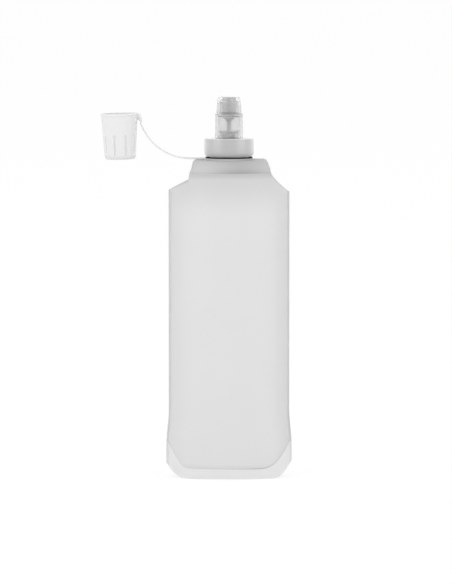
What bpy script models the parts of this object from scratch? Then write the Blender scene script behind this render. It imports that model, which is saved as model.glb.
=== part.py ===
"""Foldable water bottle: a stand-up soft flask with a screw collar, a push-pull bite valve and a tethered dust cap.

Metres, +Z up. The flask stands on the rim of its skirt at z = 0. Every piece hangs from an empty on the flask's
own axis, which lies beside the origin so that the origin is the middle of everything, the cap included.
"""

import math

import bmesh
import bpy
import numpy as np
from mathutils import Matrix, Vector

# Gaps and film

GAP = 0.0003  # between pieces that touch on the real flask
RUNNING_GAP = 0.00035  # between pieces that slide or screw
FILM = 0.0006  # thickness of the soft film

# The bag's panels

PANEL_HEIGHT = 0.2028  # from the ground to the straight top edge
BODY_HALF_WIDTH = 0.0400
SIDE_WELD_WIDTH = 0.0028
SKIRT_FLARE = 0.0017  # how far each side spreads at the skirt
FLARE_TOP_Z = 0.046  # the sides start to spread here, going down
FLARE_END_Z = 0.020  # and are at their widest here
BELLY_HALF_DEPTH = 0.0235
BELLY_LOW_Z = 0.060
BELLY_HIGH_Z = 0.120
BASE_HALF_DEPTH = 0.0195
TOP_HALF_DEPTH = 0.0215
SHOULDER_SHARE = 0.33  # of the half width, from where the top edge turns down to the side
SHOULDER_DROP = 0.0121
CORNER_RISE = 0.0111  # of the skirt's rounded corners, which are as wide as the shoulders
CORNER_POWER = 2.5
BULGE_POWER = 0.72  # how square the bag is in plan
PANEL_COLUMNS = (5, 6, 1)  # from the middle to the shoulder, to the weld, to the edge
PANEL_ROW_SHARES = (0, 0.05, 0.095, 0.14, 0.19, 0.27, 0.4, 0.58, 0.74, 0.86, 0.95, 1)

# The neck

NECK_RADIUS = 0.0130
NECK_WALL = 0.0025
NECK_HEIGHT = 0.0087  # above the top gusset
NECK_EDGE = 0.0004
FLANGE_END_WIDTH = 0.0060  # the boat flange past the neck, along the flask
FLANGE_SIDE_WIDTH = 0.0018
FLANGE_THICKNESS = 0.0016

# The gussets

GUSSET_END_INSET = 0.0034  # from the body's side to the gussets' ends, just inside the weld
LAND_RISE = 0.0083  # of the flat land for the neck, over the panels' top edge
LAND_END_MARGIN = 0.0010  # round the neck's flange
LAND_SIDE_MARGIN = 0.0004
SHOULDER_RISE_SHARE = 0.12  # of the land's rise, left over the shoulders
DOME_POWER = 0.6
TOP_WELD_WIDTH = 0.0030
SEAM_MIDDLE_Z = 0.0064  # the U weld, at its lowest
SEAM_RISE = 0.0169
SEAM_FLAT_HALF_WIDTH = 0.0200
SEAM_END_INSET = 0.0037  # from the skirt's side
SEAM_POWER = 2.8
FLOOR_ARCH = 0.0040
SKIRT_STEP = 0.0005  # how far the inner film stops above the skirt's edge
TOP_COLUMNS = (3, 4, 5)  # from the middle to the land's end, to the shoulder, to the gusset's end
FLOOR_COLUMNS = (3, 2, 5)  # from the middle to where the seam rises, to the corner, to the gusset's end
LAND_STEPS = 2
DOME_STEPS = 4
FLOOR_STEPS = 3
STRIP_ROWS = 3

# The threads

THREAD_PITCH = 0.0032
THREAD_HEIGHT = 0.0012
THREAD_ROOT_WIDTH = 0.0014
THREAD_CREST_WIDTH = 0.0007
THREAD_SINK = 0.0004  # how far a ridge's root goes into its wall
THREAD_START_HEIGHT = 0.0028  # above the top gusset
THREAD_END_MARGIN = 0.0004  # under the neck's lip
THREAD_TAPER_TURNS = 0.1

# The collar

SLIT = 0.0018  # between the top gusset and the collar, where the tether ring lies
COLLAR_WALL = 0.0021
COLLAR_ROOF = 0.0018
COLLAR_BOTTOM_FILLET = 0.0019
COLLAR_TOP_FILLET = 0.0006

# The valve

VALVE_TRAVEL = 0.0022
SEAL_THICKNESS = 0.0014
SEAL_BORE_CLEARANCE = 0.0004
BASE_FLANGE_THICKNESS = 0.0012
TUBE_RADIUS = 0.00625
TUBE_WALL = 0.00105
LEDGE_WIDTH = 0.0008  # inside the tube, under the post
LEDGE_THICKNESS = 0.0013
STOP_STEP = 0.0005
STOP_HEIGHT = 0.0018
GROOVE_DEPTH = 0.0009
GROOVE_WIDTH = 0.0010
GROOVE_TOP_WALL = 0.0004
SLEEVE_WALL = 0.00205
SLEEVE_HEIGHT = 0.0161
SLEEVE_LIP_HEIGHT = 0.0008
SLEEVE_EDGE = 0.0004
WEB_THICKNESS = 0.0017
FLOW_WIDTH = 0.0006  # round the plug
NIPPLE_WALL = 0.0010
NIPPLE_HEIGHT = 0.0087
MOUTHPIECE_FOOT_WALL = 0.00195
MOUTHPIECE_TAPER = 0.0011  # of the radius, from foot to tip
MOUTHPIECE_LIP = 0.0030
MOUTHPIECE_FILLET = 0.0011
MOUTH_FILLET = 0.0005
PLUG_RADIUS = 0.0045
PLUG_REACH = 0.0014  # into the mouth, when closed
PLUG_EDGE = 0.0005
FLARE_FLOW_WIDTH = 0.0011  # round the disc under the sleeve's web, which the stem flares out to
FLARE_HEIGHT = 0.0037
FLARE_LIP = 0.0005
STEM_RADIUS = 0.0015
BOWL_HEIGHT = 0.0051
BOWL_FOOT_EDGE = 0.0004
BOWL_LIP = 0.0009
BOWL_DISH = 0.0010
FLOW_HOLES = 4
FLOW_HOLE_RADIUS = 0.0011
FLOW_HOLE_CIRCLE_RADIUS = 0.0031

# The dust cap, which is stored beside the valve with its mouth up

CAP_DISTANCE = 0.0725  # from the flask's axis to the cap's
CAP_RIM_HEIGHT = 0.0307  # of the mouth, above the top gusset
CAP_HEAD_ROOM = 0.0011  # over the mouthpiece, when the cap is on
CAP_WALL = 0.0012
CAP_MOUTH_RADIUS = 0.0120  # outside, under the rim
CAP_END_RADIUS = 0.0107
CAP_END_FILLET = 0.0013
CAP_RIM_WIDTH = 0.0004
CAP_RIM_THICKNESS = 0.0014
FLUTES = 9
FLUTE_DEPTH = 0.0005
FLUTE_LOW = 0.0022  # from the closed end
FLUTE_HIGH = 0.0155
FLUTE_RUNOUT = 0.0008
FLUTE_HALF_ANGLE = math.radians(4)
FLUTE_PHASE = math.radians(9)
FLUTE_SIDE_SHARES = (0, 1, 1.8, 3.6)  # of the flute's half angle, from its middle

# The tether

RING_BORE_CLEARANCE = 0.00045
RING_WIDTH = 0.00245
RING_THICKNESS = 0.0011
TAB_LENGTH = 0.0031
TAB_OVERLAP = 0.0012
STRAP_WIDTH = 0.0036
STRAP_THICKNESS = 0.0010
STRAP_START_ANGLE = math.radians(4)
STRAP_END_ANGLE = math.radians(59)
STRAP_BEND_RADIUS = 0.0262
STRAP_SPLIT_SHARE = 0.52  # of the strap's length, where its two halves meet
STRAP_STEPS = 9
LUG_LENGTH = 0.0025
LUG_WIDTH = 0.0046
LUG_HEIGHT = 0.0051
LUG_TOP_DROP = 0.0007  # under the cap's mouth
LUG_PIVOT_RISE = 0.0016  # of the lug's bend, over its underside
LUG_BEVEL = 0.0006

# How round things are drawn

ROUND_STEPS = 36
HOLE_STEPS = 12
FILLET_STEPS = 2
FLARE_STEPS = 4
BEVEL_STEPS = 2
SHARP_ANGLE = math.radians(35)
OVERRUN = 0.002  # how far a cutter passes the faces that it opens
MERGE = 0.000001
PROBE = 0.00005  # the step that a film's slope is read over

# Sizes that follow: the bag and the neck

SKIRT_HALF_WIDTH = BODY_HALF_WIDTH + SKIRT_FLARE
FOLD_SHARE = 1 - SHOULDER_SHARE
WELD_SHARE = 1 - SIDE_WELD_WIDTH / BODY_HALF_WIDTH
GUSSET_END_SHARE = 1 - GUSSET_END_INSET / BODY_HALF_WIDTH
LAND_Z = PANEL_HEIGHT + LAND_RISE
FLANGE_HALF_LENGTH = NECK_RADIUS + FLANGE_END_WIDTH
FLANGE_HALF_DEPTH = NECK_RADIUS + FLANGE_SIDE_WIDTH
LAND_END_SHARE = (FLANGE_HALF_LENGTH + LAND_END_MARGIN) / BODY_HALF_WIDTH
LAND_SIDE_SHARE = (FLANGE_HALF_DEPTH + LAND_SIDE_MARGIN) / (TOP_HALF_DEPTH - GAP / 2)
NECK_BORE_RADIUS = NECK_RADIUS - NECK_WALL
NECK_TOP_Z = LAND_Z + NECK_HEIGHT

# The collar and the threads

THREAD_START_Z = LAND_Z + THREAD_START_HEIGHT
THREAD_CLIMB = NECK_TOP_Z - THREAD_END_MARGIN - THREAD_ROOT_WIDTH / 2 - THREAD_START_Z
COLLAR_BORE_RADIUS = NECK_RADIUS + THREAD_HEIGHT + RUNNING_GAP
COLLAR_RADIUS = COLLAR_BORE_RADIUS + COLLAR_WALL
COLLAR_BOTTOM_Z = LAND_Z + SLIT
SEAL_BOTTOM_Z = NECK_TOP_Z + GAP
BASE_BOTTOM_Z = SEAL_BOTTOM_Z + SEAL_THICKNESS + GAP
BASE_TOP_Z = BASE_BOTTOM_Z + BASE_FLANGE_THICKNESS
COLLAR_CEILING_Z = BASE_TOP_Z + GAP
COLLAR_TOP_Z = COLLAR_CEILING_Z + COLLAR_ROOF

# The valve

TUBE_BORE_RADIUS = TUBE_RADIUS - TUBE_WALL
STOP_RADIUS = TUBE_RADIUS + STOP_STEP
SLEEVE_BORE_RADIUS = STOP_RADIUS + RUNNING_GAP
SLEEVE_RADIUS = SLEEVE_BORE_RADIUS + SLEEVE_WALL
SLEEVE_BOTTOM_Z = COLLAR_TOP_Z + GAP
SLEEVE_TOP_Z = SLEEVE_BOTTOM_Z + SLEEVE_HEIGHT
STOP_BOTTOM_Z = SLEEVE_BOTTOM_Z + SLEEVE_LIP_HEIGHT + VALVE_TRAVEL + GAP
TUBE_TOP_Z = STOP_BOTTOM_Z + STOP_HEIGHT
NIPPLE_BORE_RADIUS = PLUG_RADIUS + FLOW_WIDTH
NIPPLE_RADIUS = NIPPLE_BORE_RADIUS + NIPPLE_WALL
NIPPLE_TOP_Z = SLEEVE_TOP_Z + NIPPLE_HEIGHT
THROAT_Z = NIPPLE_TOP_Z + GAP
MOUTHPIECE_TOP_Z = THROAT_Z + MOUTHPIECE_LIP

# The dust cap and the tether

CAP_RADIUS = CAP_MOUTH_RADIUS + CAP_RIM_WIDTH
CAP_RIM_Z = LAND_Z + CAP_RIM_HEIGHT
CAP_HEIGHT = MOUTHPIECE_TOP_Z - SLEEVE_BOTTOM_Z + CAP_HEAD_ROOM + CAP_WALL
RING_BORE_RADIUS = NECK_RADIUS + RING_BORE_CLEARANCE
RING_RADIUS = RING_BORE_RADIUS + RING_WIDTH
TETHER_Z = LAND_Z + SLIT / 2
BEND_X = RING_RADIUS + TAB_LENGTH  # the strap bends here, beside the ring
LUG_OUTER_X = CAP_DISTANCE - CAP_RADIUS - GAP
LUG_INNER_X = LUG_OUTER_X - LUG_LENGTH
LUG_PIVOT_X = LUG_OUTER_X - LUG_LENGTH / 2
LUG_HIGH_Z = CAP_RIM_Z - LUG_TOP_DROP
LUG_LOW_Z = LUG_HIGH_Z - LUG_HEIGHT
LUG_PIVOT_Z = LUG_LOW_Z + LUG_PIVOT_RISE

# The middle of everything: the cap reaches left, the skirt right
AXIS_X = (CAP_DISTANCE + CAP_RADIUS - SKIRT_HALF_WIDTH) / 2


def material(name, colour, roughness, transmission=0.0):
    """A Principled material with the piece's own colour and gloss."""
    made = bpy.data.materials.new(name)
    made.use_nodes = True
    shader = made.node_tree.nodes["Principled BSDF"]
    shader.inputs["Base Color"].default_value = (*colour, 1)
    shader.inputs["Roughness"].default_value = roughness
    shader.inputs["Metallic"].default_value = 0
    shader.inputs["Transmission Weight"].default_value = transmission
    return made


def new_object(name, bm, finish, origin=(0, 0, 0)):
    """An object from a bmesh whose points are measured from the flask's axis, with its own origin where asked."""
    bmesh.ops.remove_doubles(bm, verts=bm.verts, dist=MERGE)
    bmesh.ops.recalc_face_normals(bm, faces=bm.faces)
    mesh = bpy.data.meshes.new(name)
    bm.to_mesh(mesh)
    bm.free()
    mesh.transform(Matrix.Translation(-Vector(origin)))
    mesh.shade_smooth()
    mesh.set_sharp_from_angle(angle=SHARP_ANGLE)
    mesh.materials.append(finish)
    made = bpy.data.objects.new(name, mesh)
    bpy.context.collection.objects.link(made)
    made.parent = flask_axis
    made.location = origin
    return made


def cutter(name, bm):
    """A guide object for a Boolean, which isn't a piece."""
    made = new_object(name, bm, guide_finish)
    made.hide_render = True
    made.display_type = "WIRE"
    return made


def combine(piece, tool, operation):
    """A Boolean modifier of the exact kind."""
    made = piece.modifiers.new(f"{operation.lower()} {tool.name}", "BOOLEAN")
    made.operation = operation
    made.solver = "EXACT"
    made.object = tool


def softened(profile):
    """A closed outline of (r, z) or (r, z, fillet radius) corners, with the filleted ones made into arcs."""
    points = []
    for i, corner in enumerate(profile):
        here = Vector(corner[:2])
        radius = corner[2] if len(corner) > 2 else 0
        if not radius:
            points.append(here)
            continue
        back = (Vector(profile[i - 1][:2]) - here).normalized()
        ahead = (Vector(profile[(i + 1) % len(profile)][:2]) - here).normalized()
        half_turn = back.angle(ahead) / 2
        centre = here + (back + ahead).normalized() * (radius / math.sin(half_turn))
        first = here + back * (radius / math.tan(half_turn)) - centre
        last = here + ahead * (radius / math.tan(half_turn)) - centre
        for k in range(FILLET_STEPS + 1):
            points.append(centre + first.slerp(last, k / FILLET_STEPS) * radius)
    return points


def turned(profile):
    """A bmesh spun round the flask's axis from a closed outline of (r, z) corners, which may run along the axis."""
    bm = bmesh.new()
    ring = [bm.verts.new((r, 0, z)) for r, z in softened(profile)]
    edges = [bm.edges.new(pair) for pair in zip(ring, ring[1:] + ring[:1])
             if max(pair[0].co.x, pair[1].co.x) > MERGE]
    bmesh.ops.spin(bm, geom=ring + edges, cent=(0, 0, 0), axis=(0, 0, 1), angle=math.tau, steps=ROUND_STEPS)
    return bm


def block(low, high):
    """A bmesh box between two corners."""
    low, high = Vector(low), Vector(high)
    bm = bmesh.new()
    bmesh.ops.create_cube(bm, size=1, matrix=Matrix.LocRotScale((low + high) / 2, None, high - low))
    return bm


def sleeve_of_rings(rings):
    """A bmesh skin over a row of alike rings of points, with flat ends."""
    bm = bmesh.new()
    made = [[bm.verts.new(p) for p in ring] for ring in rings]
    for a, b in zip(made, made[1:]):
        for i in range(len(a)):
            bm.faces.new((a[i - 1], a[i], b[i], b[i - 1]))
    bm.faces.new(made[0])
    bm.faces.new(made[-1][::-1])
    return bm


def closed_grid(outer, inner):
    """A bmesh shell between two grids of points: both faces, and the wall round the edge."""
    rows, columns = outer.shape[:2]
    bm = bmesh.new()
    front, back = ([[bm.verts.new(p) for p in line] for line in grid.tolist()] for grid in (outer, inner))
    for i in range(rows - 1):
        for j in range(columns - 1):
            bm.faces.new((front[i][j], front[i][j + 1], front[i + 1][j + 1], front[i + 1][j]))
            bm.faces.new((back[i][j], back[i + 1][j], back[i + 1][j + 1], back[i][j + 1]))
    for i in range(rows - 1):
        bm.faces.new((front[i][0], front[i + 1][0], back[i + 1][0], back[i][0]))
        bm.faces.new((front[i + 1][-1], front[i][-1], back[i][-1], back[i + 1][-1]))
    for j in range(columns - 1):
        bm.faces.new((front[0][j + 1], front[0][j], back[0][j], back[0][j + 1]))
        bm.faces.new((front[-1][j], front[-1][j + 1], back[-1][j + 1], back[-1][j]))
    return bm


def columns(breaks, steps):
    """Shares of the half width on both sides of the middle, with each stretch between breaks divided evenly."""
    stretches = [np.linspace(a, b, n, endpoint=False) for a, b, n in zip((0, *breaks), breaks, steps)]
    side = np.concatenate([*stretches, breaks[-1:]])
    return np.concatenate([-side[:0:-1], side])


def eased(t):
    """From 0 to 1 with a soft start and end."""
    t = np.clip(t, 0, 1)
    return t**2 * (3 - 2 * t)


# The bag's own shape: a place on it is a share of the half width, -1 to 1, and a height


def half_width(z):
    return BODY_HALF_WIDTH + SKIRT_FLARE * eased((FLARE_TOP_Z - z) / (FLARE_TOP_Z - FLARE_END_Z))


def half_depth(z):
    low = np.clip((BELLY_LOW_Z - z) / BELLY_LOW_Z, 0, 1)
    high = np.clip((z - BELLY_HIGH_Z) / (PANEL_HEIGHT - BELLY_HIGH_Z), 0, 1)
    base_loss = (BELLY_HALF_DEPTH - BASE_HALF_DEPTH) * low**2
    top_loss = (BELLY_HALF_DEPTH - TOP_HALF_DEPTH) * high**2
    return BELLY_HALF_DEPTH - base_loss - top_loss


def past_fold(share):
    """From 0 where the shoulders and corners start to 1 at the side."""
    return np.clip((np.abs(share) - FOLD_SHARE) / (1 - FOLD_SHARE), 0, 1)


def top_edge(share):
    """The height of the panels' top edge: straight, then down over the shoulders."""
    return PANEL_HEIGHT - SHOULDER_DROP * past_fold(share)


def bottom_edge(share):
    """The height of the skirt's edge: flat on the ground, then up round the corners."""
    return CORNER_RISE * past_fold(share) ** CORNER_POWER


def u_seam(share):
    """The height of the weld between a panel and the bottom gusset."""
    beyond = np.abs(share) * SKIRT_HALF_WIDTH - SEAM_FLAT_HALF_WIDTH
    run = SKIRT_HALF_WIDTH - SEAM_END_INSET - SEAM_FLAT_HALF_WIDTH
    return SEAM_MIDDLE_Z + SEAM_RISE * np.clip(beyond / run, 0, 1) ** SEAM_POWER


def panel_face(share, z):
    """Points on the front panel's outer face: a soft lens in plan, flat along the side welds."""
    width = half_width(z)
    across = np.clip(np.abs(share) * width / (width - SIDE_WELD_WIDTH), 0, 1)
    bulge = half_depth(z) * (1 - across**2) ** BULGE_POWER
    return np.stack([share * width, -(GAP / 2 + FILM + bulge), z], axis=-1)


def unit_normals(along, up):
    normal = np.cross(along, up)
    return normal / np.linalg.norm(normal, axis=-1, keepdims=True)


def behind_panel(share, z, depth):
    """The same points moved into the bag by a depth, square to the panel."""
    step = PROBE / BODY_HALF_WIDTH
    along = panel_face(share + step, z) - panel_face(share - step, z)
    up = panel_face(share, z + PROBE) - panel_face(share, z - PROBE)
    return panel_face(share, z) - unit_normals(along, up) * depth


def add_panel(name, side):
    """One wall of the bag. Side is -1 for the front and 1 for the back."""
    share, row = np.meshgrid(columns((FOLD_SHARE, WELD_SHARE, 1), PANEL_COLUMNS), PANEL_ROW_SHARES)
    z = bottom_edge(share) + (top_edge(share) - bottom_edge(share)) * row
    flip = np.array((1, -side, 1))
    outer = panel_face(share, z) * flip
    inner = behind_panel(share, z, FILM) * flip
    # The ground and the top seam stay level through the film's thickness
    inner[0, :, 2] = outer[0, :, 2]
    inner[-1, :, 2] = outer[-1, :, 2]
    new_object(name, closed_grid(outer, inner), film_finish)


def gusset(shares, across, low, fold, rise):
    """A film welded inside both panels from the height low to the height fold, and carried over between them.

    Rise gives the crossing's height above the fold from the share along the flask and the share of its depth.
    """
    up = np.linspace(0, 1, STRIP_ROWS)[:, None]
    heights = low(shares) + (fold(shares) - low(shares)) * up
    front = behind_panel(np.broadcast_to(shares, heights.shape), heights, FILM + GAP)
    v = np.concatenate([-across[::-1], across[1:]])[:, None]
    seam = front[-1]
    crossing = np.stack([seam[:, 0] + 0 * v, -seam[:, 1] * v, fold(shares) + rise(shares, v)], axis=-1)
    outer = np.concatenate([front, crossing, front[::-1] * (1, -1, 1)])
    inner = outer - unit_normals(np.gradient(outer, axis=1), np.gradient(outer, axis=0)) * FILM
    return closed_grid(outer, inner)


def land_rise(share, v):
    """The top gusset: a flat land for the neck, rounded off to the seams and to the shoulders."""
    past_land = np.clip((np.abs(share) - LAND_END_SHARE) / (FOLD_SHARE - LAND_END_SHARE), 0, 1)
    along = SHOULDER_RISE_SHARE + (1 - SHOULDER_RISE_SHARE) * np.sqrt(1 - past_land**2)
    past_side = np.clip((np.abs(v) - LAND_SIDE_SHARE) / (1 - LAND_SIDE_SHARE), 0, 1)
    return LAND_RISE * along * (1 - past_side**2) ** DOME_POWER


def floor_rise(share, v):
    """The bottom gusset: a shallow arch over the ground, the same all along."""
    return FLOOR_ARCH * (1 - v**2) + 0 * share


def add_gussets():
    """The film that closes the bag's top round the neck, and the one that closes its base."""
    across = LAND_SIDE_SHARE * np.linspace(0, 1, LAND_STEPS, endpoint=False)
    round_off = np.sin(math.pi / 2 * np.arange(DOME_STEPS) / DOME_STEPS)
    across = np.concatenate([across, LAND_SIDE_SHARE + (1 - LAND_SIDE_SHARE) * round_off])
    top = new_object("top_gusset", gusset(
        columns((LAND_END_SHARE, FOLD_SHARE, GUSSET_END_SHARE), TOP_COLUMNS), across,
        lambda share: top_edge(share) - TOP_WELD_WIDTH, top_edge, land_rise), film_finish)
    hole_radius = NECK_RADIUS + GAP
    hole_low = LAND_Z - FILM - OVERRUN
    hole_high = LAND_Z + OVERRUN
    hole = turned(((0, hole_low), (hole_radius, hole_low), (hole_radius, hole_high), (0, hole_high)))
    combine(top, cutter("neck_hole_cutter", hole), "DIFFERENCE")

    seam_flat_share = SEAM_FLAT_HALF_WIDTH / SKIRT_HALF_WIDTH
    new_object("bottom_gusset", gusset(
        columns((seam_flat_share, FOLD_SHARE, GUSSET_END_SHARE), FLOOR_COLUMNS),
        np.linspace(0, 1, FLOOR_STEPS, endpoint=False),
        lambda share: bottom_edge(share) + SKIRT_STEP, u_seam, floor_rise), film_finish)


def thread_ridge(wall_radius, height, start_z, turns):
    """A bmesh screw ridge on a round wall, outwards for a positive height and inwards for a negative one."""
    sink = -math.copysign(THREAD_SINK, height)
    buried = sink / 2
    rings = []
    for k in range(round(turns * ROUND_STEPS) + 1):
        turn = k / ROUND_STEPS
        # The crest rises from inside the wall at both ends
        full = min(1, turn / THREAD_TAPER_TURNS, (turns - turn) / THREAD_TAPER_TURNS)
        crest = buried + (height - buried) * max(full, 0)
        across, up = math.cos(math.tau * turn), math.sin(math.tau * turn)
        z = start_z + THREAD_PITCH * turn
        section = ((sink, -THREAD_ROOT_WIDTH / 2), (crest, -THREAD_CREST_WIDTH / 2),
                   (crest, THREAD_CREST_WIDTH / 2), (sink, THREAD_ROOT_WIDTH / 2))
        rings.append([((wall_radius + out) * across, (wall_radius + out) * up, z + rise) for out, rise in section])
    return sleeve_of_rings(rings)


def add_neck():
    """A threaded tube on a boat-shaped flange that lies under the top gusset."""
    flange_top = LAND_Z - FILM - GAP
    flange_bottom = flange_top - FLANGE_THICKNESS
    neck = new_object("neck", turned((
        (NECK_BORE_RADIUS, flange_bottom), (NECK_RADIUS, flange_bottom),
        (NECK_RADIUS, NECK_TOP_Z, NECK_EDGE), (NECK_BORE_RADIUS, NECK_TOP_Z, NECK_EDGE))), moulding_finish)
    flange_inner = NECK_RADIUS - THREAD_SINK
    boat = turned(((flange_inner, flange_bottom), (FLANGE_HALF_DEPTH, flange_bottom),
                   (FLANGE_HALF_DEPTH, flange_top), (flange_inner, flange_top)))
    for v in boat.verts:
        # Round at the tube, an ellipse at the rim
        if math.hypot(v.co.x, v.co.y) > NECK_RADIUS:
            v.co.x *= FLANGE_HALF_LENGTH / FLANGE_HALF_DEPTH
    combine(neck, cutter("neck_flange_form", boat), "UNION")
    ridge = thread_ridge(NECK_RADIUS, THREAD_HEIGHT, THREAD_START_Z, THREAD_CLIMB / THREAD_PITCH)
    combine(neck, cutter("neck_thread_form", ridge), "UNION")


def add_collar():
    """The screw collar, whose own ridge runs half a pitch above the neck's."""
    hole_radius = TUBE_RADIUS + RUNNING_GAP
    collar = new_object("screw_collar", turned((
        (COLLAR_RADIUS, COLLAR_BOTTOM_Z, COLLAR_BOTTOM_FILLET), (COLLAR_RADIUS, COLLAR_TOP_Z, COLLAR_TOP_FILLET),
        (hole_radius, COLLAR_TOP_Z), (hole_radius, COLLAR_CEILING_Z),
        (COLLAR_BORE_RADIUS, COLLAR_CEILING_Z), (COLLAR_BORE_RADIUS, COLLAR_BOTTOM_Z))), collar_finish)
    start = THREAD_START_Z + THREAD_PITCH / 2
    turns = THREAD_CLIMB / THREAD_PITCH - 1 / 4
    ridge = thread_ridge(COLLAR_BORE_RADIUS, -THREAD_HEIGHT, start, turns)
    combine(collar, cutter("collar_thread_form", ridge), "UNION")


def add_valve_base():
    """The seal on the neck's lip and the flanged tube that the collar holds down on it, with its rubber ring."""
    new_object("neck_seal", turned((
        (NECK_BORE_RADIUS + SEAL_BORE_CLEARANCE, SEAL_BOTTOM_Z), (NECK_RADIUS, SEAL_BOTTOM_Z),
        (NECK_RADIUS, SEAL_BOTTOM_Z + SEAL_THICKNESS),
        (NECK_BORE_RADIUS + SEAL_BORE_CLEARANCE, SEAL_BOTTOM_Z + SEAL_THICKNESS))), rubber_finish)
    groove_radius = STOP_RADIUS - GROOVE_DEPTH
    groove_top = TUBE_TOP_Z - GROOVE_TOP_WALL
    groove_bottom = groove_top - GROOVE_WIDTH
    inlet_radius = TUBE_BORE_RADIUS - LEDGE_WIDTH
    ledge_z = BASE_TOP_Z + LEDGE_THICKNESS
    new_object("valve_base", turned((
        (NECK_RADIUS, BASE_BOTTOM_Z), (NECK_RADIUS, BASE_TOP_Z), (TUBE_RADIUS, BASE_TOP_Z),
        (TUBE_RADIUS, STOP_BOTTOM_Z), (STOP_RADIUS, STOP_BOTTOM_Z), (STOP_RADIUS, groove_bottom),
        (groove_radius, groove_bottom), (groove_radius, groove_top), (STOP_RADIUS, groove_top),
        (STOP_RADIUS, TUBE_TOP_Z), (TUBE_BORE_RADIUS, TUBE_TOP_Z), (TUBE_BORE_RADIUS, ledge_z),
        (inlet_radius, ledge_z), (inlet_radius, BASE_BOTTOM_Z))), clear_finish)
    new_object("spout_ring", turned((
        (groove_radius + GAP, groove_bottom + GAP), (SLEEVE_BORE_RADIUS - GAP, groove_bottom + GAP),
        (SLEEVE_BORE_RADIUS - GAP, groove_top - GAP), (groove_radius + GAP, groove_top - GAP))), rubber_finish)


def add_valve_post():
    """The fixed post: a bowl with flow holes on the tube's ledge, a stem that flares out, and the mouth's plug."""
    bottom = BASE_TOP_Z + LEDGE_THICKNESS + GAP
    top = bottom + BOWL_HEIGHT
    radius = TUBE_BORE_RADIUS - GAP
    plug_top = THROAT_Z + PLUG_REACH
    flare_radius = SLEEVE_BORE_RADIUS - FLARE_FLOW_WIDTH
    flare_top = SLEEVE_TOP_Z - WEB_THICKNESS - GAP
    flare_low = flare_top - FLARE_LIP - FLARE_HEIGHT
    quarter = [math.pi / 2 * k / FLARE_STEPS for k in range(FLARE_STEPS + 1)]
    post = new_object("valve_post", turned((
        (0, bottom), (radius - BOWL_FOOT_EDGE, bottom), (radius, bottom + BOWL_LIP), (radius, top),
        (radius - BOWL_LIP, top), (STEM_RADIUS, top - BOWL_DISH),
        *((flare_radius - (flare_radius - STEM_RADIUS) * math.cos(turn), flare_low + FLARE_HEIGHT * math.sin(turn))
          for turn in quarter),
        (flare_radius, flare_top), (PLUG_RADIUS, flare_top), (PLUG_RADIUS, plug_top - PLUG_EDGE),
        (PLUG_RADIUS - PLUG_EDGE, plug_top), (0, plug_top))), plug_finish)
    for k in range(FLOW_HOLES):
        turn = math.tau * (k + 1 / 2) / FLOW_HOLES
        place = Vector((FLOW_HOLE_CIRCLE_RADIUS * math.cos(turn), FLOW_HOLE_CIRCLE_RADIUS * math.sin(turn),
                        (bottom + top) / 2))
        hole = bmesh.new()
        bmesh.ops.create_cone(hole, cap_ends=True, segments=HOLE_STEPS, radius1=FLOW_HOLE_RADIUS,
                              radius2=FLOW_HOLE_RADIUS, depth=BOWL_HEIGHT + 2 * OVERRUN,
                              matrix=Matrix.Translation(place))
        combine(post, cutter(f"flow_hole_cutter_{k}", hole), "DIFFERENCE")


def add_sliding_spout():
    """The sleeve that slides on the valve base, and the soft mouthpiece on its nipple."""
    web_bottom = SLEEVE_TOP_Z - WEB_THICKNESS
    lip_top = SLEEVE_BOTTOM_Z + SLEEVE_LIP_HEIGHT
    lip_radius = TUBE_RADIUS + RUNNING_GAP
    new_object("spout_sleeve", turned((
        (SLEEVE_RADIUS, SLEEVE_BOTTOM_Z), (SLEEVE_RADIUS, SLEEVE_TOP_Z, SLEEVE_EDGE),
        (NIPPLE_RADIUS, SLEEVE_TOP_Z), (NIPPLE_RADIUS, NIPPLE_TOP_Z), (NIPPLE_BORE_RADIUS, NIPPLE_TOP_Z),
        (NIPPLE_BORE_RADIUS, web_bottom), (SLEEVE_BORE_RADIUS, web_bottom), (SLEEVE_BORE_RADIUS, lip_top),
        (lip_radius, lip_top), (lip_radius, SLEEVE_BOTTOM_Z))), clear_finish)
    inner = NIPPLE_RADIUS + GAP
    foot = inner + MOUTHPIECE_FOOT_WALL
    mouth = PLUG_RADIUS + GAP
    new_object("bite_mouthpiece", turned((
        (inner, SLEEVE_TOP_Z + GAP), (foot, SLEEVE_TOP_Z + GAP),
        (foot - MOUTHPIECE_TAPER, MOUTHPIECE_TOP_Z, MOUTHPIECE_FILLET), (mouth, MOUTHPIECE_TOP_Z, MOUTH_FILLET),
        (mouth, THROAT_Z), (inner, THROAT_Z))), clear_finish)


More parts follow.
